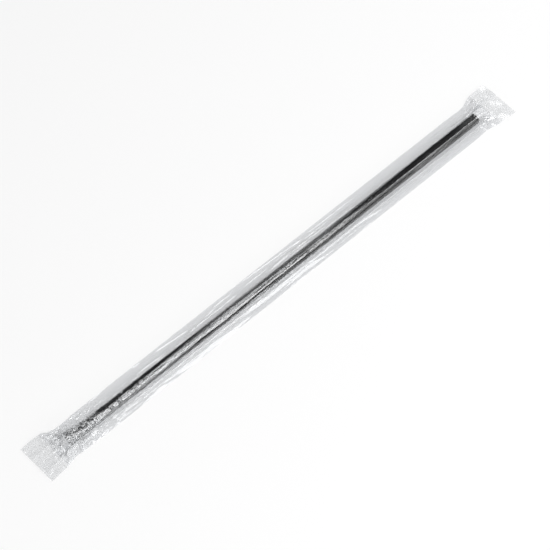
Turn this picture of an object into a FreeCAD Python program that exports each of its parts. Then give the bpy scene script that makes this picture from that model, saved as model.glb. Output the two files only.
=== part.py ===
import FreeCAD, Part
import math
import os

# One drinking straw sealed in a clear film sleeve, as it lies on a table.
# Millimetres, Z up, the straw along X. The origin is the middle of the sleeve's underside.

# Straw: a thin black plastic tube, cut square at both ends
STRAW_LENGTH = 260.0
STRAW_DIAMETER = 5.5
STRAW_WALL = 0.2

# Sleeve: one web of clear film wrapped round the straw
FILM_THICKNESS = 0.03
SLEEVE_FLAT_WIDTH = 22.0
END_MARGIN = 18.0
STRAW_SIDE_SHIFT = 1.2
STRAW_TO_LOWER_FILM = 0.05
STRAW_TO_UPPER_FILM = 0.18

# Drape: the upper film hugs the straw up to an angle, comes down beside it within the drape's
# width, and runs out nearly flat to the side folds
LEAVING_ANGLE = 78.0
DRAPE_WIDTH = 1.1
FOLD_OPENING = 0.2

# Gather: the stretch past the straw's mouth where the draped film closes to flat
GATHER_LENGTH = 8.0
NEAR_PLEAT_HEIGHT = 0.9
FAR_PLEAT_HEIGHT = 0.5
PLEAT_PITCH = 3.4
PLEAT_START = 5.0

# Flap: the flat sealed end, which stands a little off the table at its weld
WELD_LIFT = 1.4
NEAR_FLAP_END_LIFT = 0.25
FAR_FLAP_END_LIFT = 0.9

# Slack: soft lengthwise folds in the flat sides of the sleeve
SLACK_FOLD_HEIGHT = 0.1
SLACK_FOLD_PITCH = 4.6
SLACK_FOLD_DRIFT = 95.0

# Lap seal: both edges of the web welded face to face and laid over on the sleeve
SEAM_WIDTH = 3.2
SEAM_LAYERS = 2
SEAM_ROOT_GAP = 0.03
SEAM_FREE_GAP = 0.35
SEAM_NEAR_POSITION = -2.2
SEAM_FAR_POSITION = 6.4

# Facets: how finely the film is divided
DRAPE_POINTS = 24
SIDE_FACETS = 12
SEAM_FACETS = 3
LOWER_FACETS = 4
SLEEVE_STEP = 20.0
GATHER_STEPS = 7
FLAP_STEPS = 3

straw_radius = STRAW_DIAMETER / 2
straw_half = STRAW_LENGTH / 2
straw_height = FILM_THICKNESS + STRAW_TO_LOWER_FILM + straw_radius
crest_radius = straw_radius + STRAW_TO_UPPER_FILM
crest_height = straw_height - FILM_THICKNESS
weld_start = straw_half + GATHER_LENGTH
sleeve_half = straw_half + END_MARGIN


def smooth(value):
    """0 to 1 with soft ends."""
    value = min(max(value, 0.0), 1.0)
    return value * value * (3 - 2 * value)


def mix(start, end, share):
    return start + (end - start) * share


def drape(reach):
    """Upper film from the crest to a side fold that lies reach from the straw, as points
    (along the film, across, up) and the length of its arc over the straw."""
    leaving = math.radians(LEAVING_ANGLE)
    outline = []
    for i in range(DRAPE_POINTS):
        turn = leaving * i / DRAPE_POINTS
        outline.append((crest_radius * math.sin(turn), crest_height + crest_radius * math.cos(turn)))
    start = crest_radius * math.sin(leaving)
    top = crest_height + crest_radius * math.cos(leaving)
    margin = reach - start - DRAPE_WIDTH
    for i in range(DRAPE_POINTS + 1):
        t = i / DRAPE_POINTS
        height = top * (1 + 2 * t) * (1 - t) ** 2 + FOLD_OPENING * t**2 * (3 - 2 * t)
        height -= DRAPE_WIDTH * math.tan(leaving) * t * (1 - t) ** 2
        height += DRAPE_WIDTH * FOLD_OPENING / margin * t**2 * (1 - t)
        outline.append((start + DRAPE_WIDTH * t, height))
    outline.append((reach, 0.0))
    points = [(0.0,) + outline[0]]
    for across, height in outline[1:]:
        step = math.hypot(across - points[-1][1], height - points[-1][2])
        points.append((points[-1][0] + step, across, height))
    return points, crest_radius * leaving


def draped_half_width():
    """Half of the sleeve's width round the straw: the film's girth stays what it is when flat."""
    narrow = crest_radius + DRAPE_WIDTH + STRAW_SIDE_SHIFT
    wide = SLEEVE_FLAT_WIDTH / 2
    for _ in range(50):
        middle = (narrow + wide) / 2
        near_points, _ = drape(middle - STRAW_SIDE_SHIFT)
        far_points, _ = drape(middle + STRAW_SIDE_SHIFT)
        if 2 * middle + near_points[-1][0] + far_points[-1][0] > 2 * SLEEVE_FLAT_WIDTH:
            wide = middle
        else:
            narrow = middle
    return middle


draped_half = draped_half_width()
near_drape, arc_run = drape(draped_half - STRAW_SIDE_SHIFT)
far_drape, arc_run = drape(draped_half + STRAW_SIDE_SHIFT)
near_run = near_drape[-1][0]
far_run = far_drape[-1][0]


def draped_point(run):
    """Place across and height of the draped film at a run from the crest, and its share of the
    way from the straw to the side fold."""
    side = -1 if run < 0 else 1
    points = near_drape if run < 0 else far_drape
    length = min(abs(run), points[-1][0])
    share = max(0.0, (length - arc_run) / (points[-1][0] - arc_run))
    for before, after in zip(points, points[1:]):
        if length <= after[0]:
            part = (length - before[0]) / (after[0] - before[0])
            across = mix(before[1], after[1], part)
            return side * across - STRAW_SIDE_SHIFT, mix(before[2], after[2], part), share


def closing(x):
    """0 where the straw props the film up, 1 where both layers are welded."""
    return smooth((abs(x) - straw_half) / GATHER_LENGTH)


def lower_height(x):
    """Height of the lower film's underside."""
    past_weld = (abs(x) - weld_start) / (END_MARGIN - GATHER_LENGTH)
    end_lift = NEAR_FLAP_END_LIFT if x < 0 else FAR_FLAP_END_LIFT
    if past_weld <= 0:
        return WELD_LIFT * closing(x)
    return mix(WELD_LIFT, end_lift, smooth(past_weld))


def half_width(x):
    return mix(draped_half, SLEEVE_FLAT_WIDTH / 2, closing(x))


def pleat(x, run):
    """Height of the sharp gathers round the straw's mouths, ridge beside hollow."""
    position = (abs(x) - straw_half + PLEAT_START) / (GATHER_LENGTH + PLEAT_START)
    if position <= 0 or position >= 1:
        return 0.0
    height = NEAR_PLEAT_HEIGHT if x < 0 else FAR_PLEAT_HEIGHT
    wander = 0.3 * math.sin(2 * math.pi * position * 1.5 + run)
    phase = (run / PLEAT_PITCH + wander) % 1.0
    ridge = 1 - abs(2 * phase - 1)
    return height * math.sin(math.pi * position) * ridge


def slack_fold(x, run, share, height):
    """Height of the soft folds on the sleeve's sides, where the two layers are a height apart.
    There are none at the crest and the side folds."""
    phase = 2 * math.pi * (run / SLACK_FOLD_PITCH + x / SLACK_FOLD_DRIFT)
    depth = min(SLACK_FOLD_HEIGHT, height / 2)
    return depth * math.sin(math.pi * share) * math.sin(phase)


def upper_runs(x):
    """Runs from the crest of the upper film's points, from the far side fold to the near one."""
    root = mix(SEAM_NEAR_POSITION, SEAM_FAR_POSITION, (x + sleeve_half) / (2 * sleeve_half))
    tip = root - SEAM_WIDTH
    runs = [mix(far_run, root, i / SIDE_FACETS) for i in range(SIDE_FACETS)]
    runs += [mix(root, tip, i / SEAM_FACETS) for i in range(SEAM_FACETS)]
    runs += [mix(tip, -near_run, i / SIDE_FACETS) for i in range(SIDE_FACETS + 1)]
    return runs


def upper_underside(x):
    """Points of the upper film's underside, with a side fold at each end."""
    closed = closing(x)
    floor = lower_height(x) + FILM_THICKNESS
    points = []
    for run in upper_runs(x):
        across, height, share = draped_point(run)
        side_fold = 1 - share**4
        flat = run / (far_run if run > 0 else near_run) * SLEEVE_FLAT_WIDTH / 2
        height += slack_fold(x, run, share, height)
        rise = height * (1 - closed) + pleat(x, run) * side_fold
        points.append(FreeCAD.Vector(x, mix(across, flat, closed), floor + rise))
    return points


def raised(points, offsets):
    """The points lifted so that a layer as thick as its offset lies between, also on a slope."""
    result = []
    last = len(points) - 1
    for i, point in enumerate(points):
        along = points[min(i + 1, last)] - points[max(i - 1, 0)]
        result.append(point + FreeCAD.Vector(0, 0, offsets[i] * along.Length / abs(along.y)))
    return result


def outer_section(x):
    """Outside of the film at one place along the sleeve, with the laid-over seal."""
    under = upper_underside(x)
    count = len(under)
    skin = raised(under, [FILM_THICKNESS] * count)
    root = SIDE_FACETS
    tip = SIDE_FACETS + SEAM_FACETS
    seal_thickness = SEAM_LAYERS * FILM_THICKNESS
    open_share = 1 - closing(x)
    free_gap = mix(SEAM_ROOT_GAP, SEAM_FREE_GAP, open_share)
    gaps = [mix(SEAM_ROOT_GAP, free_gap, i / SEAM_FACETS) for i in range(SEAM_FACETS + 1)]
    covered = skin[root : tip + 1]
    seal_under = raised(covered, gaps)
    seal_top = raised(covered, [gap + seal_thickness for gap in gaps])
    edge = half_width(x)
    low = lower_height(x)
    far_edge = FreeCAD.Vector(x, edge, low + 2 * FILM_THICKNESS)
    near_edge = FreeCAD.Vector(x, -edge, low + 2 * FILM_THICKNESS)
    lower = [
        FreeCAD.Vector(x, mix(-edge, edge, i / LOWER_FACETS), low) for i in range(LOWER_FACETS + 1)
    ]
    section = lower + [far_edge] + skin[1:root]
    section += seal_top + list(reversed(seal_under[1:])) + skin[root + 1 : count - 1]
    return section + [near_edge]


def cavity_section(x):
    """Inside of the film at one place, where the two layers stand apart."""
    under = upper_underside(x)
    edge = half_width(x)
    floor = lower_height(x) + FILM_THICKNESS
    lower = [
        FreeCAD.Vector(x, mix(-edge, edge, i / LOWER_FACETS), floor)
        for i in range(1, LOWER_FACETS)
    ]
    inset = 4 * FILM_THICKNESS
    far_apex = FreeCAD.Vector(x, edge - inset, floor)
    near_apex = FreeCAD.Vector(x, inset - edge, floor)
    return [near_apex] + lower + [far_apex] + under[1:-1]


def panel(corners):
    """One face, or two triangles where the four corners aren't in one plane.

    Layers that lie on each other are split along like diagonals, whichever way they run.
    """
    a, b, c, d = corners
    if a.y < b.y:
        a, b, c, d = b, c, d, a
    normal = (b - a).cross(c - a)
    if normal.Length > 1e-9 and abs(normal.normalize().dot(d - a)) < 1e-7:
        return [Part.Face(Part.makePolygon([a, b, c, d, a]))]
    triangles = ([a, b, c, a], [a, c, d, a])
    return [Part.Face(Part.makePolygon(triangle)) for triangle in triangles]


def closed_skin(sections):
    """The closed surface round a row of sections, with flat ends, facing outwards."""
    faces = []
    for first, second in zip(sections, sections[1:]):
        count = len(first)
        for i in range(count):
            j = (i + 1) % count
            faces += panel((first[i], first[j], second[j], second[i]))
    for section in (sections[0], sections[-1]):
        faces.append(Part.Face(Part.makePolygon(section + section[:1])))
    skin = Part.makeShell(faces).removeSplitter()
    if Part.Solid(skin).Volume < 0:
        skin.reverse()
    return skin


def spaced(start, end, steps):
    return [mix(start, end, i / steps) for i in range(steps)]


def stations():
    """Places along the sleeve where its section is drawn, from the near end to the far end."""
    last_straight = straw_half - PLEAT_START
    sleeve_steps = max(2, round(2 * last_straight / SLEEVE_STEP))
    places = spaced(-sleeve_half, -weld_start, FLAP_STEPS)
    places += spaced(-weld_start, -last_straight, GATHER_STEPS + 1)
    places += spaced(-last_straight, last_straight, sleeve_steps)
    places += spaced(last_straight, weld_start, GATHER_STEPS + 1)
    places += spaced(weld_start, sleeve_half, FLAP_STEPS)
    return places + [sleeve_half]


def make_straw():
    tube = Part.makeCylinder(straw_radius, STRAW_LENGTH)
    bore = Part.makeCylinder(straw_radius - STRAW_WALL, STRAW_LENGTH)
    straw = tube.cut(bore)
    straw.rotate(FreeCAD.Vector(0, 0, 0), FreeCAD.Vector(0, 1, 0), 90)
    straw.translate(FreeCAD.Vector(-straw_half, -STRAW_SIDE_SHIFT, straw_height))
    return straw


def make_wrapper():
    """The film, sealed all round: one solid between its outer skin and the skin of the space
    inside it."""
    places = stations()
    outer_skin = closed_skin([outer_section(x) for x in places])
    inner_skin = closed_skin([cavity_section(x) for x in places if abs(x) < weld_start])
    inner_skin.reverse()
    return Part.Solid(Part.makeCompound([outer_skin, inner_skin]))


os.makedirs("parts", exist_ok=True)
make_straw().exportStep("parts/straw.step")
make_wrapper().exportStep("parts/wrapper.step")
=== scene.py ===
import math

import bpy
import numpy as np
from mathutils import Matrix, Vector
from mathutils.geometry import delaunay_2d_cdt


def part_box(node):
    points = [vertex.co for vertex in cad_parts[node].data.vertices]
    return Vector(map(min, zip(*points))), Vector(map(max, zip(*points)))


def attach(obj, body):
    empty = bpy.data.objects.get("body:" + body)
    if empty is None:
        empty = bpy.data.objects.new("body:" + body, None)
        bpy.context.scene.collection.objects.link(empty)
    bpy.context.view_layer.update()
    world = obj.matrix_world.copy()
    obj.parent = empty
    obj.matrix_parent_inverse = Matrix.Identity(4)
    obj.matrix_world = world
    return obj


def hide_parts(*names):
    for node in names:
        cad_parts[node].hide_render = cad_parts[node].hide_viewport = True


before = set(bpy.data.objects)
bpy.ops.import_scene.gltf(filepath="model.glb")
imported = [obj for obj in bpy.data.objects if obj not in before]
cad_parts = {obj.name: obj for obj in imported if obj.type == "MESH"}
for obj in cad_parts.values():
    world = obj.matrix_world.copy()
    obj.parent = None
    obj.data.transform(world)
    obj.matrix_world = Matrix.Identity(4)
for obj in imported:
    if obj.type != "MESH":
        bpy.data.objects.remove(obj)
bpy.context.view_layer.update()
scene = bpy.context.scene
MM = 0.001

# Straw. A thin-walled tube of glossy black polypropylene, extruded and cut square at both
# ends. It lies loose in its film, a little to the near side of the sleeve's middle.
straw_low, straw_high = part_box("straw")
straw_half = straw_high.x
straw_radius = (straw_high.z - straw_low.z) / 2
straw_side = (straw_low.y + straw_high.y) / 2
straw_height = (straw_low.z + straw_high.z) / 2
straw_wall = 0.2 * MM
rim_rounding = 0.05 * MM
straw_turns = 96

black_plastic = bpy.data.materials.new("black_polypropylene")
black_plastic.use_nodes = True
nodes = black_plastic.node_tree.nodes
link = black_plastic.node_tree.links.new
plastic = nodes["Principled BSDF"]
plastic.inputs["IOR"].default_value = 1.49
place = nodes.new("ShaderNodeTexCoord")
stretch = nodes.new("ShaderNodeMapping")
stretch.inputs["Scale"].default_value = (15.0, 1400.0, 1400.0)
link(place.outputs["Object"], stretch.inputs["Vector"])
draw_lines = nodes.new("ShaderNodeTexNoise")
draw_lines.inputs["Scale"].default_value = 1.0
draw_lines.inputs["Detail"].default_value = 3.0
link(stretch.outputs["Vector"], draw_lines.inputs["Vector"])
tone = nodes.new("ShaderNodeValToRGB")
tone.color_ramp.elements[0].position = 0.35
tone.color_ramp.elements[0].color = (0.004, 0.004, 0.0045, 1)
tone.color_ramp.elements[1].position = 0.7
tone.color_ramp.elements[1].color = (0.009, 0.009, 0.0095, 1)
link(draw_lines.outputs["Fac"], tone.inputs["Fac"])
link(tone.outputs["Color"], plastic.inputs["Base Color"])
sheen = nodes.new("ShaderNodeMapRange")
sheen.inputs["To Min"].default_value = 0.07
sheen.inputs["To Max"].default_value = 0.16
link(draw_lines.outputs["Fac"], sheen.inputs["Value"])
link(sheen.outputs["Result"], plastic.inputs["Roughness"])
relief = nodes.new("ShaderNodeBump")
relief.inputs["Strength"].default_value = 0.12
relief.inputs["Distance"].default_value = 0.02 * MM
link(draw_lines.outputs["Fac"], relief.inputs["Height"])
link(relief.outputs["Normal"], plastic.inputs["Normal"])

tube_tree = bpy.data.node_groups.new("extruded_tube", "GeometryNodeTree")
for size_name in ("Length", "Diameter", "Wall", "Rim Rounding"):
    tube_tree.interface.new_socket(size_name, in_out="INPUT", socket_type="NodeSocketFloat")
tube_tree.interface.new_socket("Turns", in_out="INPUT", socket_type="NodeSocketInt")
tube_tree.interface.new_socket("Plastic", in_out="INPUT", socket_type="NodeSocketMaterial")
tube_tree.interface.new_socket("Tube", in_out="OUTPUT", socket_type="NodeSocketGeometry")
nodes = tube_tree.nodes
link = tube_tree.links.new
sizes = nodes.new("NodeGroupInput")
across_wall = nodes.new("ShaderNodeMath")
across_wall.operation = "SUBTRACT"
link(sizes.outputs["Diameter"], across_wall.inputs[0])
link(sizes.outputs["Wall"], across_wall.inputs[1])
mid_wall = nodes.new("ShaderNodeMath")
mid_wall.operation = "DIVIDE"
mid_wall.inputs[1].default_value = 2.0
link(across_wall.outputs["Value"], mid_wall.inputs[0])
round_way = nodes.new("GeometryNodeCurvePrimitiveCircle")
link(sizes.outputs["Turns"], round_way.inputs["Resolution"])
link(mid_wall.outputs["Value"], round_way.inputs["Radius"])
wall_section = nodes.new("GeometryNodeCurvePrimitiveQuadrilateral")
link(sizes.outputs["Wall"], wall_section.inputs["Width"])
link(sizes.outputs["Length"], wall_section.inputs["Height"])
rims = nodes.new("GeometryNodeFilletCurve")
rims.mode = "POLY"
rims.inputs["Count"].default_value = 3
link(wall_section.outputs["Curve"], rims.inputs["Curve"])
link(sizes.outputs["Rim Rounding"], rims.inputs["Radius"])
lathe = nodes.new("GeometryNodeCurveToMesh")
link(round_way.outputs["Curve"], lathe.inputs["Curve"])
link(rims.outputs["Curve"], lathe.inputs["Profile Curve"])
lay_down = nodes.new("GeometryNodeTransform")
lay_down.inputs["Rotation"].default_value = (0, math.pi / 2, 0)
lay_down.inputs["Translation"].default_value = (0, straw_side, straw_height)
link(lathe.outputs["Mesh"], lay_down.inputs["Geometry"])
real = nodes.new("GeometryNodeRealizeInstances")
link(lay_down.outputs["Geometry"], real.inputs["Geometry"])
coat = nodes.new("GeometryNodeSetMaterial")
link(real.outputs["Geometry"], coat.inputs["Geometry"])
link(sizes.outputs["Plastic"], coat.inputs["Material"])
finished = nodes.new("NodeGroupOutput")
link(coat.outputs["Geometry"], finished.inputs["Tube"])


def made_by(tree, name, values, base=None):
    """A piece with the plain mesh that a node tree makes with the values for its inputs."""
    piece = bpy.data.objects.new(name, base or bpy.data.meshes.new(name))
    scene.collection.objects.link(piece)
    maker = piece.modifiers.new(name, "NODES")
    maker.node_group = tree
    for socket in tree.interface.items_tree:
        if socket.in_out == "INPUT" and socket.name in values:
            maker[socket.identifier] = values[socket.name]
    evaluated = piece.evaluated_get(bpy.context.evaluated_depsgraph_get())
    mesh = bpy.data.meshes.new_from_object(evaluated)
    piece.modifiers.clear()
    piece.data = mesh
    return piece


straw = made_by(tube_tree, "straw_tube", {
    "Length": 2 * straw_half,
    "Diameter": 2 * straw_radius,
    "Wall": straw_wall,
    "Rim Rounding": rim_rounding,
    "Turns": straw_turns,
    "Plastic": black_plastic,
})
straw.data.shade_smooth()
straw.data.set_sharp_from_angle(angle=math.radians(12))
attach(straw, "root")
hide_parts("straw")

# Sleeve. One web of clear oriented polypropylene film, folded round the straw, draped over it
# and welded flat across both ends. It is gathered and crumpled round the straw's mouths.
film_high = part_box("wrapper")[1]
sleeve_half = film_high.x
flat_half = film_high.y
film_thickness = 0.03 * MM
gather_length = 8.0 * MM
weld_start = straw_half + gather_length
crest_gap = 0.18 * MM
crest_radius = straw_radius + crest_gap
crest_height = straw_height - film_thickness
leaving_angle = math.radians(82)
drape_width = 0.8 * MM
crest_steps = 24
drape_steps = 25
fold_opening = 0.2 * MM
pressed_half = 4.5 * MM
pressed_blend = 1.5 * MM
straw_clearance = 0.06 * MM
mouth_clearance = 0.4 * MM
weld_lift = 1.4 * MM
near_end_lift = 0.25 * MM
far_end_lift = 0.9 * MM
near_pleat_height = 0.9 * MM
far_pleat_height = 0.5 * MM
pleat_pitch = 3.4 * MM
near_pleat_start = 5.0 * MM
far_pleat_start = 1.5 * MM
slack_height = 0.1 * MM
slack_pitch = 4.6 * MM
slack_drift = 95.0 * MM
seal_width = 3.2 * MM
seal_near_run = -2.2 * MM
seal_far_run = 6.4 * MM
upper_points = 117
lower_points = 13


def smooth(value):
    """An eased step from 0 to 1."""
    value = np.clip(value, 0, 1)
    return value * value * (3 - 2 * value)


def mix(start, end, share):
    return start + (end - start) * share


def drape(reach):
    """Upper film from the crest to a side fold: arrays of run along the film, across and up."""
    turn = np.linspace(0, leaving_angle, crest_steps, endpoint=False)
    across = crest_radius * np.sin(turn)
    height = crest_height + crest_radius * np.cos(turn)
    start = crest_radius * math.sin(leaving_angle)
    top = crest_height + crest_radius * math.cos(leaving_angle)
    margin = reach - start - drape_width
    t = np.linspace(0, 1, drape_steps)
    slope = top * (1 + 2 * t) * (1 - t) ** 2 + fold_opening * t**2 * (3 - 2 * t)
    slope -= drape_width * math.tan(leaving_angle) * t * (1 - t) ** 2
    slope += drape_width * fold_opening / margin * t**2 * (1 - t)
    across = np.concatenate([across, start + drape_width * t, [reach]])
    height = np.concatenate([height, slope, [0.0]])
    run = np.concatenate([[0.0], np.cumsum(np.hypot(np.diff(across), np.diff(height)))])
    return run, across, height


def draped_half_width():
    """Half of the sleeve's width round the straw: the film's girth stays what it is when flat."""
    narrow, wide = crest_radius + drape_width - straw_side, flat_half
    for _ in range(50):
        middle = (narrow + wide) / 2
        girth = 2 * middle + drape(middle + straw_side)[0][-1] + drape(middle - straw_side)[0][-1]
        narrow, wide = (narrow, middle) if girth > 4 * flat_half else (middle, wide)
    return middle


draped_half = draped_half_width()
near_drape = drape(draped_half + straw_side)
far_drape = drape(draped_half - straw_side)
near_run = near_drape[0][-1]
far_run = far_drape[0][-1]
arc_run = crest_radius * leaving_angle


def folds(seed, count, along, run, heading, length, width, height):
    """Straight folds as rows of place, run, heading, half length, half width and height."""
    chance = np.random.default_rng(seed)
    ranges = (along, run, heading, length, width, height)
    return np.column_stack([chance.uniform(*limits, count) for limits in ranges])


def folded(x, run, rows):
    """Height of folds, each sharp along its line and fading towards its ends."""
    total = np.zeros(np.broadcast(x, run).shape)
    for along, across, heading, length, width, height in rows * (MM, MM, 1, MM, MM, MM):
        ahead = x - along
        aside = run - across
        on_line = np.abs(ahead * math.cos(heading) + aside * math.sin(heading)) / length
        off_line = np.abs(aside * math.cos(heading) - ahead * math.sin(heading)) / width
        total += height * smooth(1.4 * (1 - on_line)) * np.maximum(0, 1 - off_line)
    return total


near_kinks = folds(
    15, 26, along=(-118, -80), run=(-6, 6), heading=(0.9, 2.3),
    length=(1.0, 3.2), width=(0.5, 1.0), height=(0.25, 0.7),
)
far_kinks = folds(
    17, 9, along=(60, 118), run=(-6, 6), heading=(0.9, 2.3),
    length=(1.0, 3.0), width=(0.8, 1.2), height=(0.1, 0.3),
)
middle_kinks = folds(
    23, 14, along=(-90, 60), run=(-5, 5), heading=(0.7, 2.4),
    length=(1.0, 3.4), width=(0.9, 1.4), height=(0.1, 0.35),
)
long_creases = folds(
    31, 170, along=(-130, 130), run=(-13, 13), heading=(-0.03, 0.03),
    length=(8, 50), width=(0.3, 0.7), height=(-0.12, 0.2),
)
bed_creases = folds(
    37, 90, along=(-147, 147), run=(-11, 11), heading=(-0.2, 0.2),
    length=(8, 45), width=(0.5, 1.6), height=(0.03, 0.14),
)


def facets(seed, along, across, along_pitch, across_pitch, heights):
    """Crumpled film: random peaks and hollows in millimetres, and the flat triangles between."""
    chance = np.random.default_rng(seed)
    pitch = np.array((along_pitch, across_pitch))
    columns = np.arange(*along, along_pitch)
    rows = np.arange(*across, across_pitch)
    peaks = np.stack(np.meshgrid(columns, rows), axis=-1).reshape(-1, 2)
    peaks = peaks + chance.uniform(-0.45, 0.45, peaks.shape) * pitch
    places = [Vector(place) for place in peaks / pitch]
    triangles = delaunay_2d_cdt(places, [], [], 0, 0.0001)[2]
    return peaks * MM, chance.uniform(*heights, len(peaks)) * MM, triangles


def faceted(x, run, crumple):
    """Height of the crumpled film's facets at places along it and across it."""
    peaks, heights, triangles = crumple
    total = np.zeros(np.broadcast(x, run).shape)
    for first, second, third in triangles:
        side = peaks[second] - peaks[first]
        other = peaks[third] - peaks[first]
        whole = side[0] * other[1] - side[1] * other[0]
        ahead = x - peaks[first][0]
        aside = run - peaks[first][1]
        to_second = (ahead * other[1] - aside * other[0]) / whole
        to_third = (side[0] * aside - side[1] * ahead) / whole
        inside = (to_second >= 0) & (to_third >= 0) & (to_second + to_third <= 1)
        height = heights[first] * (1 - to_second - to_third)
        height = height + heights[second] * to_second + heights[third] * to_third
        total[inside] = height[inside]
    return total


near_crumple = facets(4, (-152, -98), (-16, 16), 2.2, 1.4, (-1.7, 2.3))
near_wrinkle = facets(5, (-152, -98), (-16, 16), 1.0, 0.8, (-0.35, 0.45))
far_crumple = facets(9, (116, 150), (-16, 16), 2.8, 1.9, (-0.8, 1.3))
far_wrinkle = facets(10, (116, 150), (-16, 16), 1.3, 1.0, (-0.15, 0.2))
near_flap = facets(41, (-154, -128), (-14, 14), 4.0, 3.0, (0.0, 0.9))
far_flap = facets(43, (128, 154), (-14, 14), 5.0, 3.8, (0.0, 0.8))

# Distances from the sleeve's middle where each kind of crumpling starts and where it is full.
near_crumple_span = (104 * MM, 127 * MM)
near_wrinkle_span = (100 * MM, 122 * MM)
far_crumple_span = (127 * MM, 134 * MM)
far_wrinkle_span = (127 * MM, 133 * MM)
edge_pull_span = (116 * MM, 130 * MM)
veil_span = (114 * MM, 128 * MM)

# The welds press the film flat, and it stays smoother close to the lap seal.
press_lead = 1.0 * MM
press_blend = 2.5 * MM
flap_crumple = 0.16
seal_calm = 1.5 * MM
calm_crumple = 0.3


def crumpling(x, start, full):
    """0 before the start of the crumpled stretch, 1 past where it is full, little on the flap."""
    grown = smooth((np.abs(x) - start) / (full - start))
    pressed = smooth((np.abs(x) - weld_start + press_lead) / press_blend)
    fading = 1 - smooth((np.abs(x) - weld_start) / (sleeve_half - weld_start))
    return grown * mix(1.0, flap_crumple * fading, pressed)


def seal_root(x):
    """Run of the film from the crest to the edge where the lap seal stands on it."""
    return mix(seal_near_run, seal_far_run, (x + sleeve_half) / (2 * sleeve_half))


def closing(x):
    """0 where the straw props the film up, 1 where both layers are welded."""
    return smooth((np.abs(x) - straw_half) / gather_length)


def lower_lift(x):
    """How far the lower film is raised: up to the welds, then down again along the flaps."""
    past_weld = (np.abs(x) - weld_start) / (sleeve_half - weld_start)
    end_lift = np.where(x < 0, near_end_lift, far_end_lift)
    flap_lift = mix(weld_lift, end_lift, smooth(past_weld))
    return np.where(past_weld <= 0, weld_lift * closing(x), flap_lift)


def bed(x, across):
    """Top of the lower film, creased except where the straw presses on it."""
    under_straw = smooth((pressed_half - np.abs(across - straw_side)) / pressed_blend)
    under_straw = under_straw * (1 - closing(x))
    flap = faceted(x, across, near_flap) + faceted(x, across, far_flap)
    relief = folded(x, across, bed_creases) + flap * closing(x)
    return lower_lift(x) + film_thickness + relief * (1 - under_straw)


def upper_film(x, run):
    """Underside of the upper film: its across, and its height above the lower film."""
    near = run < 0
    length = np.abs(run)
    across = np.where(near, -np.interp(length, *near_drape[:2]), np.interp(length, *far_drape[:2]))
    near_height = np.interp(length, near_drape[0], near_drape[2])
    height = np.where(near, near_height, np.interp(length, far_drape[0], far_drape[2]))
    whole = np.where(near, near_run, far_run)
    share = np.clip((length - arc_run) / (whole - arc_run), 0, 1)
    closed = closing(x)
    slack = np.minimum(slack_height, height / 2) * np.sin(math.pi * share)
    slack = slack * np.sin(2 * math.pi * (run / slack_pitch + x / slack_drift))
    pleat_start = np.where(x < 0, near_pleat_start, far_pleat_start)
    position = (np.abs(x) - straw_half + pleat_start) / (gather_length + pleat_start)
    position = np.clip(position, 0, 1)
    wander = 0.3 * np.sin(2 * math.pi * position * 1.5 + run / MM)
    ridge = 1 - np.abs(2 * ((run / pleat_pitch + wander) % 1.0) - 1)
    pleat_height = np.where(x < 0, near_pleat_height, far_pleat_height)
    pleats = pleat_height * ridge * np.sin(math.pi * position)
    crumple = faceted(x, run, near_crumple) * crumpling(x, *near_crumple_span) * (x < 0)
    crumple += faceted(x, run, near_wrinkle) * crumpling(x, *near_wrinkle_span) * (x < 0)
    crumple += faceted(x, run, far_crumple) * crumpling(x, *far_crumple_span) * (x > 0)
    crumple += faceted(x, run, far_wrinkle) * crumpling(x, *far_wrinkle_span) * (x > 0)
    from_seal = np.abs(run - seal_root(x) + seal_width / 2) - seal_width / 2
    crumple *= mix(calm_crumple, 1.0, smooth(from_seal / seal_calm))
    kinks = folded(x, run, near_kinks) + folded(x, run, middle_kinks) + folded(x, run, far_kinks)
    creases = folded(x, run, long_creases) * (1 - closed)
    rise = (height + slack) * (1 - closed) + (pleats + crumple + kinks + creases) * (1 - share**4)
    flat = run / whole * flat_half
    return mix(across + straw_side, flat, closed), np.maximum(rise, 0)


def off_straw(x, y, z):
    """Points pushed out so that they clear the straw."""
    aside = y - straw_side
    up = z - straw_height
    reach = np.hypot(aside, up)
    least = straw_radius + straw_clearance
    beside_straw = np.abs(x) < straw_half + mouth_clearance
    push = np.where(beside_straw & (reach < least), least / reach, 1.0)
    return straw_side + aside * push, straw_height + up * push


most_pull = 0.09
pull_knots = np.arange(-148.0, 149.0, 2.0) * MM


def pulled(x, y):
    """Places across, once the gathers have pulled the sleeve's edges in unevenly."""
    chance = np.random.default_rng(53)
    count = pull_knots.size
    pull = np.stack([chance.uniform(0, most_pull, count), chance.uniform(0, most_pull, count)])
    pull *= crumpling(pull_knots, *edge_pull_span) * np.where(pull_knots < 0, 1.0, 0.5)
    near_pull = np.interp(x, pull_knots, pull[0])
    far_pull = np.interp(x, pull_knots, pull[1])
    return y * (1 - np.where(y < 0, near_pull, far_pull))


kinked_from = -112 * MM
calm_from = -84 * MM
calm_to = 118 * MM
crumpled_pitch = 0.34 * MM
kinked_pitch = 0.7 * MM
calm_pitch = 1.7 * MM
far_crumpled_places = 72


def sleeve_places():
    """Places along the sleeve, close together where the film is crumpled."""
    near_crumpled = np.arange(-sleeve_half, kinked_from, crumpled_pitch)
    near_kinked = np.arange(kinked_from, calm_from, kinked_pitch)
    calm = np.arange(calm_from, calm_to, calm_pitch)
    far_crumpled = np.linspace(calm_to, sleeve_half, far_crumpled_places)
    return np.concatenate([near_crumpled, near_kinked, calm, far_crumpled])


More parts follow.
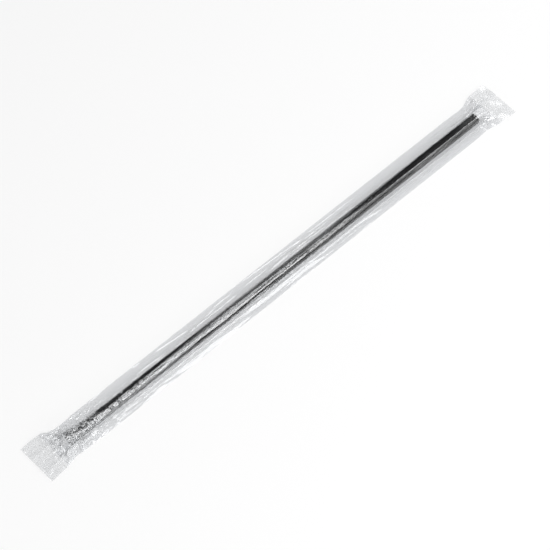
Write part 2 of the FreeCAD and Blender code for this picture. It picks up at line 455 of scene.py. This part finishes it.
x = sleeve_places()[:, None]
run = np.linspace(far_run, -near_run, upper_points)[None, :]
across, rise = upper_film(x, run)
across = pulled(x, across)
upper_y, upper_z = off_straw(x, across, bed(x, across) + rise)
edge_half = mix(draped_half, flat_half, closing(x))
lower_y = pulled(x, edge_half * np.linspace(-1, 1, lower_points)[None, :])
lower_z = bed(x, lower_y)
slope = np.gradient(upper_z, axis=1) / np.gradient(upper_y, axis=1)
upper_top = upper_z + film_thickness * np.sqrt(1 + np.minimum(slope**2, 9))

# How the film looks from place to place. Its sharp creases, side folds and welds scatter light and
# are whiter.
# Its welds are tinted a little darker, and its steep walls and its layers close to the straw carry
# painted shade.
crease_white_and_highlight = 0.24
fold_white = 0.16
weld_white = 0.1
near_veil = 0.06
far_veil = 0.02
wall_painted_shade = 0.9
beside_straw_painted_shade = 0.4
under_straw_painted_shade = 0.2
weld_tint = 0.1
weld_blend = 2.4 * MM
run_step = (near_run + far_run) / (upper_points - 1)
bend_across = np.gradient(np.gradient(upper_z, run_step, axis=1), run_step, axis=1)
bend_along = np.gradient(np.gradient(upper_z, x[:, 0], axis=0), x[:, 0], axis=0)
creased = np.clip((np.hypot(bend_across, bend_along) * MM - 0.55) / 2.0, 0, 1)
ragged = 0.7 * MM * np.sin(run / (1.9 * MM) + x / (3.0 * MM)) * np.sin(run / (0.7 * MM))
upper_weld = smooth((np.abs(x) - weld_start + ragged) / weld_blend + 0.5)
lower_weld = smooth((np.abs(x) - weld_start) / weld_blend + 0.5)
lower_weld = np.broadcast_to(lower_weld, lower_y.shape)
veiled = np.where(x < 0, near_veil, far_veil) * crumpling(x, *veil_span)
steep = np.degrees(np.arctan(np.abs(slope)))
whole_run = np.where(run < 0, near_run, far_run)
margin_share = np.clip((np.abs(run) - arc_run) / (whole_run - arc_run), 0, 1)
# Painted shade: the upper film is darker beside the straw, fading out towards the side folds.
beside = np.where(margin_share > 0, beside_straw_painted_shade * (1 - smooth(margin_share)), 0)
# Painted shade: the film's steep walls are darker.
painted_wall_shade = wall_painted_shade * smooth((steep - 40) / 25)
upper_tint_and_shade = np.maximum(np.maximum(weld_tint * upper_weld, painted_wall_shade), beside)
# Painted shade: the lower film is darker under the straw.
painted_shade_under_straw = under_straw_painted_shade * (1 - smooth(np.abs(lower_y) / draped_half))
lower_tint_and_shade = np.maximum(weld_tint * lower_weld, painted_shade_under_straw)
folded_edge = np.zeros(upper_points)
folded_edge[[0, -1]] = 1.0
# The creases' whiteness is partly stress-whitening and partly a painted highlight on sharp folds.
upper_white = crease_white_and_highlight * creased + fold_white * folded_edge + weld_white * upper_weld + veiled
lower_white = weld_white * lower_weld


def sleeve_ring(lower, upper):
    """Closed outlines, one at each place along: the lower film, then the upper film back."""
    return np.concatenate([lower, upper], axis=1)


places = np.broadcast_to(x, (len(x), lower_points + upper_points))
outer = np.stack([
    places, sleeve_ring(lower_y, upper_y), sleeve_ring(lower_z - film_thickness, upper_top)
], axis=-1)
inner = np.stack([
    places[:, 2:-2],
    sleeve_ring(lower_y[:, 1:-1], upper_y[:, 1:-1]),
    sleeve_ring(lower_z[:, 1:-1], upper_z[:, 1:-1]),
], axis=-1)
hollow = np.abs(x[:, 0]) < weld_start
inner = inner[hollow]
outer_white = sleeve_ring(lower_white, upper_white)
inner_white = sleeve_ring(lower_white[:, 1:-1], upper_white[:, 1:-1])[hollow]
outer_tint_and_shade = sleeve_ring(lower_tint_and_shade, upper_tint_and_shade)
inner_tint_and_shade = sleeve_ring(lower_tint_and_shade[:, 1:-1], upper_tint_and_shade[:, 1:-1])[hollow]


def skin(rings, first_index, faces_in):
    """Quads over a row of closed outlines, with a closing face at each end."""
    ring_count, point_count, _ = rings.shape
    points = first_index + np.arange(ring_count * point_count).reshape(ring_count, point_count)
    beside = np.roll(points, -1, axis=1)
    quads = np.stack([points[:-1], beside[:-1], beside[1:], points[1:]], axis=-1).reshape(-1, 4)
    faces = quads.tolist() + [points[0].tolist()[::-1], points[-1].tolist()]
    return [face[::-1] for face in faces] if faces_in else faces


vertices = np.concatenate([outer.reshape(-1, 3), inner.reshape(-1, 3)])
faces = skin(outer, 0, False) + skin(inner, outer.shape[0] * outer.shape[1], True)
film_mesh = bpy.data.meshes.new("film_sleeve")
film_mesh.from_pydata(vertices.tolist(), [], faces)
white = film_mesh.attributes.new("whiteness", "FLOAT", "POINT")
white.data.foreach_set("value", np.concatenate([outer_white.ravel(), inner_white.ravel()]))
# Per point: the welds' own tint together with painted shade on the walls, beside the straw and
# under it.
weld_tint_and_painted_shade = film_mesh.attributes.new("weld_tint_and_painted_shade", "FLOAT", "POINT")
weld_tint_and_painted_shade.data.foreach_set("value", np.concatenate([outer_tint_and_shade.ravel(), inner_tint_and_shade.ravel()]))
film_mesh.shade_smooth()
film_mesh.set_sharp_from_angle(angle=math.radians(32))
sleeve = bpy.data.objects.new("film_sleeve", film_mesh)
scene.collection.objects.link(sleeve)

clear_film = bpy.data.materials.new("clear_packing_film")
clear_film.use_nodes = True
nodes = clear_film.node_tree.nodes
link = clear_film.node_tree.links.new
scatter = nodes["Principled BSDF"]
scatter.inputs["Base Color"].default_value = (0.82, 0.83, 0.84, 1)
scatter.inputs["Roughness"].default_value = 0.35
tint_and_shade_input = nodes.new("ShaderNodeAttribute")
tint_and_shade_input.attribute_name = "weld_tint_and_painted_shade"
# The film's see-through colour darkens by this attribute: a real tint at the welds, and painted
# shade on the walls, beside the straw and under it.
tint = nodes.new("ShaderNodeMix")
tint.data_type = "RGBA"
tint.inputs["A"].default_value = (0.98, 0.982, 0.986, 1)
tint.inputs["B"].default_value = (0.80, 0.803, 0.808, 1)
link(tint_and_shade_input.outputs["Fac"], tint.inputs["Factor"])
through = nodes.new("ShaderNodeBsdfTransparent")
link(tint.outputs["Result"], through.inputs["Color"])
mirror = nodes.new("ShaderNodeBsdfGlossy")
mirror.inputs["Color"].default_value = (1, 1, 1, 1)
mirror.inputs["Roughness"].default_value = 0.08
place = nodes.new("ShaderNodeTexCoord")
crinkle = nodes.new("ShaderNodeTexNoise")
crinkle.inputs["Scale"].default_value = 600.0
crinkle.inputs["Detail"].default_value = 3.0
link(place.outputs["Object"], crinkle.inputs["Vector"])
stretch = nodes.new("ShaderNodeMapping")
stretch.inputs["Scale"].default_value = (14.0, 1100.0, 1100.0)
link(place.outputs["Object"], stretch.inputs["Vector"])
die_lines = nodes.new("ShaderNodeTexNoise")
die_lines.inputs["Scale"].default_value = 1.0
die_lines.inputs["Detail"].default_value = 2.0
link(stretch.outputs["Vector"], die_lines.inputs["Vector"])
uneven = nodes.new("ShaderNodeMath")
uneven.operation = "ADD"
link(crinkle.outputs["Fac"], uneven.inputs[0])
link(die_lines.outputs["Fac"], uneven.inputs[1])
relief = nodes.new("ShaderNodeBump")
relief.inputs["Strength"].default_value = 0.35
relief.inputs["Distance"].default_value = 0.06 * MM
link(uneven.outputs["Value"], relief.inputs["Height"])
link(relief.outputs["Normal"], mirror.inputs["Normal"])
facing = nodes.new("ShaderNodeLayerWeight")
facing.inputs["Blend"].default_value = 0.5
link(relief.outputs["Normal"], facing.inputs["Normal"])
grazing = nodes.new("ShaderNodeMath")
grazing.operation = "POWER"
grazing.inputs[1].default_value = 4.0
link(facing.outputs["Facing"], grazing.inputs[0])
gloss = nodes.new("ShaderNodeMapRange")
gloss.inputs["To Min"].default_value = 0.05
gloss.inputs["To Max"].default_value = 0.7
link(grazing.outputs["Value"], gloss.inputs["Value"])
clear = nodes.new("ShaderNodeMixShader")
link(gloss.outputs["Result"], clear.inputs["Fac"])
link(through.outputs["BSDF"], clear.inputs[1])
link(mirror.outputs["BSDF"], clear.inputs[2])
whiteness = nodes.new("ShaderNodeAttribute")
whiteness.attribute_name = "whiteness"
streaks = nodes.new("ShaderNodeMapRange")
streaks.inputs["From Min"].default_value = 0.58
streaks.inputs["From Max"].default_value = 0.75
streaks.inputs["To Max"].default_value = 0.02
link(die_lines.outputs["Fac"], streaks.inputs["Value"])
mottle = nodes.new("ShaderNodeTexNoise")
mottle.inputs["Scale"].default_value = 1500.0
mottle.inputs["Detail"].default_value = 2.0
link(place.outputs["Object"], mottle.inputs["Vector"])
specks = nodes.new("ShaderNodeMapRange")
specks.inputs["From Min"].default_value = 0.35
specks.inputs["From Max"].default_value = 0.7
specks.inputs["To Min"].default_value = 0.0
specks.inputs["To Max"].default_value = 2.8
link(mottle.outputs["Fac"], specks.inputs["Value"])
marks = nodes.new("ShaderNodeMath")
marks.operation = "MULTIPLY_ADD"
link(whiteness.outputs["Fac"], marks.inputs[0])
link(specks.outputs["Result"], marks.inputs[1])
link(streaks.outputs["Result"], marks.inputs[2])
film = nodes.new("ShaderNodeMixShader")
link(marks.outputs["Value"], film.inputs["Fac"])
link(clear.outputs["Shader"], film.inputs[1])
link(scatter.outputs["BSDF"], film.inputs[2])
fused = nodes.new("ShaderNodeAttribute")
fused.attribute_name = "fused"
unseen = nodes.new("ShaderNodeBsdfTransparent")
one_sheet = nodes.new("ShaderNodeMixShader")
link(fused.outputs["Fac"], one_sheet.inputs["Fac"])
link(film.outputs["Shader"], one_sheet.inputs[1])
link(unseen.outputs["BSDF"], one_sheet.inputs[2])
link(one_sheet.outputs["Shader"], nodes["Material Output"].inputs["Surface"])
film_mesh.materials.append(clear_film)
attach(sleeve, "root")
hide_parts("wrapper")

# Lap seal. Both edges of the web, welded face to face between knurled rollers that leave fine
# ribs across it, and laid over on the sleeve. It drifts from the near flank to the far one.
seal_root_gap = 0.12 * MM
seal_tip_gap = 0.42 * MM
seal_thickness = 2 * film_thickness
rib_pitch = 0.9 * MM
rib_height = 0.17 * MM
steps_per_rib = 8
seal_points = 7
seal_white = 0.05
fused_most = 0.75
fused_blend = 3.0 * MM

seal_x = np.arange(-sleeve_half, sleeve_half, rib_pitch / steps_per_rib)[:, None]
seal_share = np.linspace(0, 1, seal_points)[None, :]
seal_run = seal_root(seal_x) - seal_width * seal_share
flutter = 0.12 * MM * np.sin(seal_x / (7 * MM)) * np.sin(seal_x / (19 * MM))
tip_gap = mix(seal_tip_gap + flutter, seal_root_gap, closing(seal_x))
row = np.interp(seal_x, x[:, 0], np.arange(len(x)))
column = (far_run - seal_run) / run_step
row_low = np.minimum(row.astype(int), len(x) - 2)
column_low = np.clip(column.astype(int), 0, upper_points - 2)
row_part = row - row_low
column_part = column - column_low


def on_film(grid):
    """Values of the sleeve's grid at the seal's points."""
    near_row = mix(grid[row_low, column_low], grid[row_low, column_low + 1], column_part)
    far_row = mix(grid[row_low + 1, column_low], grid[row_low + 1, column_low + 1], column_part)
    return mix(near_row, far_row, row_part)


seal_y = on_film(upper_y)
seal_z = on_film(upper_top) + mix(seal_root_gap, tip_gap, seal_share)
strip_points = np.stack([np.broadcast_to(seal_x, seal_y.shape), seal_y, seal_z], axis=-1)
index = np.arange(seal_y.size).reshape(seal_y.shape)
strip_faces = np.stack([index[:-1, :-1], index[:-1, 1:], index[1:, 1:], index[1:, :-1]], axis=-1)
strip = bpy.data.meshes.new("seal_strip")
strip.from_pydata(strip_points.reshape(-1, 3).tolist(), [], strip_faces.reshape(-1, 4).tolist())
white = strip.attributes.new("whiteness", "FLOAT", "POINT")
white.data.foreach_set("value", np.full(seal_y.size, seal_white))
fused_mark = strip.attributes.new("fused", "FLOAT", "POINT")
fused_share = fused_most * smooth((np.abs(seal_x) - weld_start) / fused_blend + 0.5)
fused_mark.data.foreach_set("value", np.broadcast_to(fused_share, seal_y.shape).ravel())

rib_tree = bpy.data.node_groups.new("knurled_ribs", "GeometryNodeTree")
rib_tree.interface.new_socket("Strip", in_out="INPUT", socket_type="NodeSocketGeometry")
for size_name in ("Rib Pitch", "Rib Height", "Thickness"):
    rib_tree.interface.new_socket(size_name, in_out="INPUT", socket_type="NodeSocketFloat")
rib_tree.interface.new_socket("Film", in_out="INPUT", socket_type="NodeSocketMaterial")
rib_tree.interface.new_socket("Seal", in_out="OUTPUT", socket_type="NodeSocketGeometry")
nodes = rib_tree.nodes
link = rib_tree.links.new
sizes = nodes.new("NodeGroupInput")
point = nodes.new("GeometryNodeInputPosition")
along = nodes.new("ShaderNodeSeparateXYZ")
link(point.outputs["Position"], along.inputs["Vector"])
ribs_along = nodes.new("ShaderNodeMath")
ribs_along.operation = "DIVIDE"
link(along.outputs["X"], ribs_along.inputs[0])
link(sizes.outputs["Rib Pitch"], ribs_along.inputs[1])
phase = nodes.new("ShaderNodeMath")
phase.operation = "MULTIPLY"
phase.inputs[1].default_value = 2 * math.pi
link(ribs_along.outputs["Value"], phase.inputs[0])
wave = nodes.new("ShaderNodeMath")
wave.operation = "SINE"
link(phase.outputs["Value"], wave.inputs[0])
half_height = nodes.new("ShaderNodeMath")
half_height.operation = "MULTIPLY"
half_height.inputs[1].default_value = 0.5
link(sizes.outputs["Rib Height"], half_height.inputs[0])
lift = nodes.new("ShaderNodeMath")
lift.operation = "MULTIPLY"
link(wave.outputs["Value"], lift.inputs[0])
link(half_height.outputs["Value"], lift.inputs[1])
upward = nodes.new("ShaderNodeCombineXYZ")
link(lift.outputs["Value"], upward.inputs["Z"])
press = nodes.new("GeometryNodeSetPosition")
link(sizes.outputs["Strip"], press.inputs["Geometry"])
link(upward.outputs["Vector"], press.inputs["Offset"])
thicken = nodes.new("GeometryNodeExtrudeMesh")
thicken.mode = "FACES"
thicken.inputs["Individual"].default_value = False
straight_up = nodes.new("ShaderNodeCombineXYZ")
straight_up.inputs["Z"].default_value = 1.0
link(press.outputs["Geometry"], thicken.inputs["Mesh"])
link(straight_up.outputs["Vector"], thicken.inputs["Offset"])
link(sizes.outputs["Thickness"], thicken.inputs["Offset Scale"])
underside = nodes.new("GeometryNodeFlipFaces")
link(press.outputs["Geometry"], underside.inputs["Mesh"])
both = nodes.new("GeometryNodeJoinGeometry")
link(thicken.outputs["Mesh"], both.inputs["Geometry"])
link(underside.outputs["Mesh"], both.inputs["Geometry"])
weld = nodes.new("GeometryNodeMergeByDistance")
weld.inputs["Distance"].default_value = 0.001 * MM
link(both.outputs["Geometry"], weld.inputs["Geometry"])
real = nodes.new("GeometryNodeRealizeInstances")
link(weld.outputs["Geometry"], real.inputs["Geometry"])
coat = nodes.new("GeometryNodeSetMaterial")
link(real.outputs["Geometry"], coat.inputs["Geometry"])
link(sizes.outputs["Film"], coat.inputs["Material"])
finished = nodes.new("NodeGroupOutput")
link(coat.outputs["Geometry"], finished.inputs["Seal"])

seal = made_by(rib_tree, "lap_seal", {
    "Rib Pitch": rib_pitch,
    "Rib Height": rib_height,
    "Thickness": seal_thickness,
    "Film": clear_film,
}, strip)
seal.data.shade_smooth()
seal.data.set_sharp_from_angle(angle=math.radians(60))
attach(seal, "root")
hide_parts("wrapper")

# Table and light. A white sheet under the sleeve, broad soft lights in front of it, one above its
# middle, a narrow one along its far end, one at each side, and a weak even light all round.
table = bpy.data.objects.new("table", bpy.data.meshes.new("table"))
table_half = 1.6
corners = [(-1, -1), (1, -1), (1, 1), (-1, 1)]
table_points = [(a * table_half, b * table_half, 0) for a, b in corners]
table.data.from_pydata(table_points, [], [(0, 1, 2, 3)])
table.location.z = -0.02 * MM
scene.collection.objects.link(table)
white_card = bpy.data.materials.new("white_card")
white_card.use_nodes = True
nodes = white_card.node_tree.nodes
link = white_card.node_tree.links.new
paper = nodes["Principled BSDF"]
paper.inputs["Base Color"].default_value = (0.85, 0.85, 0.85, 1)
paper.inputs["Roughness"].default_value = 0.9
paper.inputs["Specular IOR Level"].default_value = 0.0
glow = nodes.new("ShaderNodeEmission")
ray = nodes.new("ShaderNodeLightPath")
seen = nodes.new("ShaderNodeMath")
seen.operation = "MAXIMUM"
link(ray.outputs["Is Camera Ray"], seen.inputs[0])
link(ray.outputs["Is Glossy Ray"], seen.inputs[1])
seen_through = nodes.new("ShaderNodeMath")
seen_through.operation = "MAXIMUM"
link(seen.outputs["Value"], seen_through.inputs[0])
link(ray.outputs["Is Transmission Ray"], seen_through.inputs[1])
glow_share = nodes.new("ShaderNodeMath")
glow_share.operation = "MULTIPLY"
glow_share.inputs[1].default_value = 0.7
link(seen_through.outputs["Value"], glow_share.inputs[0])
card = nodes.new("ShaderNodeMixShader")
link(glow_share.outputs["Value"], card.inputs["Fac"])
link(paper.outputs["BSDF"], card.inputs[1])
link(glow.outputs["Emission"], card.inputs[2])
link(card.outputs["Shader"], nodes["Material Output"].inputs["Surface"])
table.data.materials.append(white_card)

world = bpy.data.worlds.new("studio")
scene.world = world
world.use_nodes = True
nodes = world.node_tree.nodes
link = world.node_tree.links.new
room = nodes["Background"]
room.inputs["Color"].default_value = (1, 1, 1, 1)
room.inputs["Strength"].default_value = 0.07
backdrop = nodes.new("ShaderNodeBackground")
backdrop.inputs["Strength"].default_value = 1.0
ray = nodes.new("ShaderNodeLightPath")
view = nodes.new("ShaderNodeMixShader")
link(ray.outputs["Is Camera Ray"], view.inputs["Fac"])
link(room.outputs["Background"], view.inputs[1])
link(backdrop.outputs["Background"], view.inputs[2])
link(view.outputs["Shader"], nodes["World Output"].inputs["Surface"])


def soft_light(name, location, aim, width, depth, strength):
    """A flat light at a location that faces its aim; strength is how bright it looks."""
    light = bpy.data.lights.new(name, "AREA")
    light.shape = "RECTANGLE"
    light.size = width
    light.size_y = depth
    light.energy = strength * math.pi * width * depth
    lamp = bpy.data.objects.new(name, light)
    lamp.location = location
    lamp.rotation_euler = (Vector(aim) - Vector(location)).to_track_quat("-Z", "Y").to_euler()
    scene.collection.objects.link(lamp)


soft_light("front_light", (0.10, -0.67, 0.60), (0.10, 0, 0), 0.64, 0.92, 5.0)
soft_light("far_front_light", (0.67, -0.67, 0.60), (0.67, 0, 0), 0.50, 0.92, 1.0)
soft_light("top_light", (0.30, 0.02, 0.90), (0.30, 0, 0), 0.28, 0.42, 3.2)
soft_light("strip_light", (0.70, -0.50, 0.72), (0.70, 0, 0), 0.56, 0.11, 4.0)
soft_light("near_side_light", (-0.80, 0.10, 0.40), (0, 0, 0), 0.60, 0.50, 2.6)
soft_light("far_side_light", (0.80, 0.15, 0.38), (0, 0, 0), 0.60, 0.50, 2.6)

# Camera. High above the near end of the straw, which runs from lower left to upper right.
camera_azimuth = math.radians(-43)
camera_elevation = math.radians(58)
camera_distance = 1.2
lens = 168.0
target = Vector((-0.002, 0.0, 0.002))
camera = bpy.data.objects.new("camera", bpy.data.cameras.new("camera"))
camera.data.lens = lens
camera.data.clip_start = 0.01
back = Vector((
    math.sin(camera_azimuth) * math.cos(camera_elevation),
    -math.cos(camera_azimuth) * math.cos(camera_elevation),
    math.sin(camera_elevation),
))
camera.location = target + back * camera_distance
camera.rotation_euler = (-back).to_track_quat("-Z", "Y").to_euler()
scene.collection.objects.link(camera)
scene.camera = camera

scene.view_settings.view_transform = "Standard"
scene.cycles.transparent_max_bounces = 32
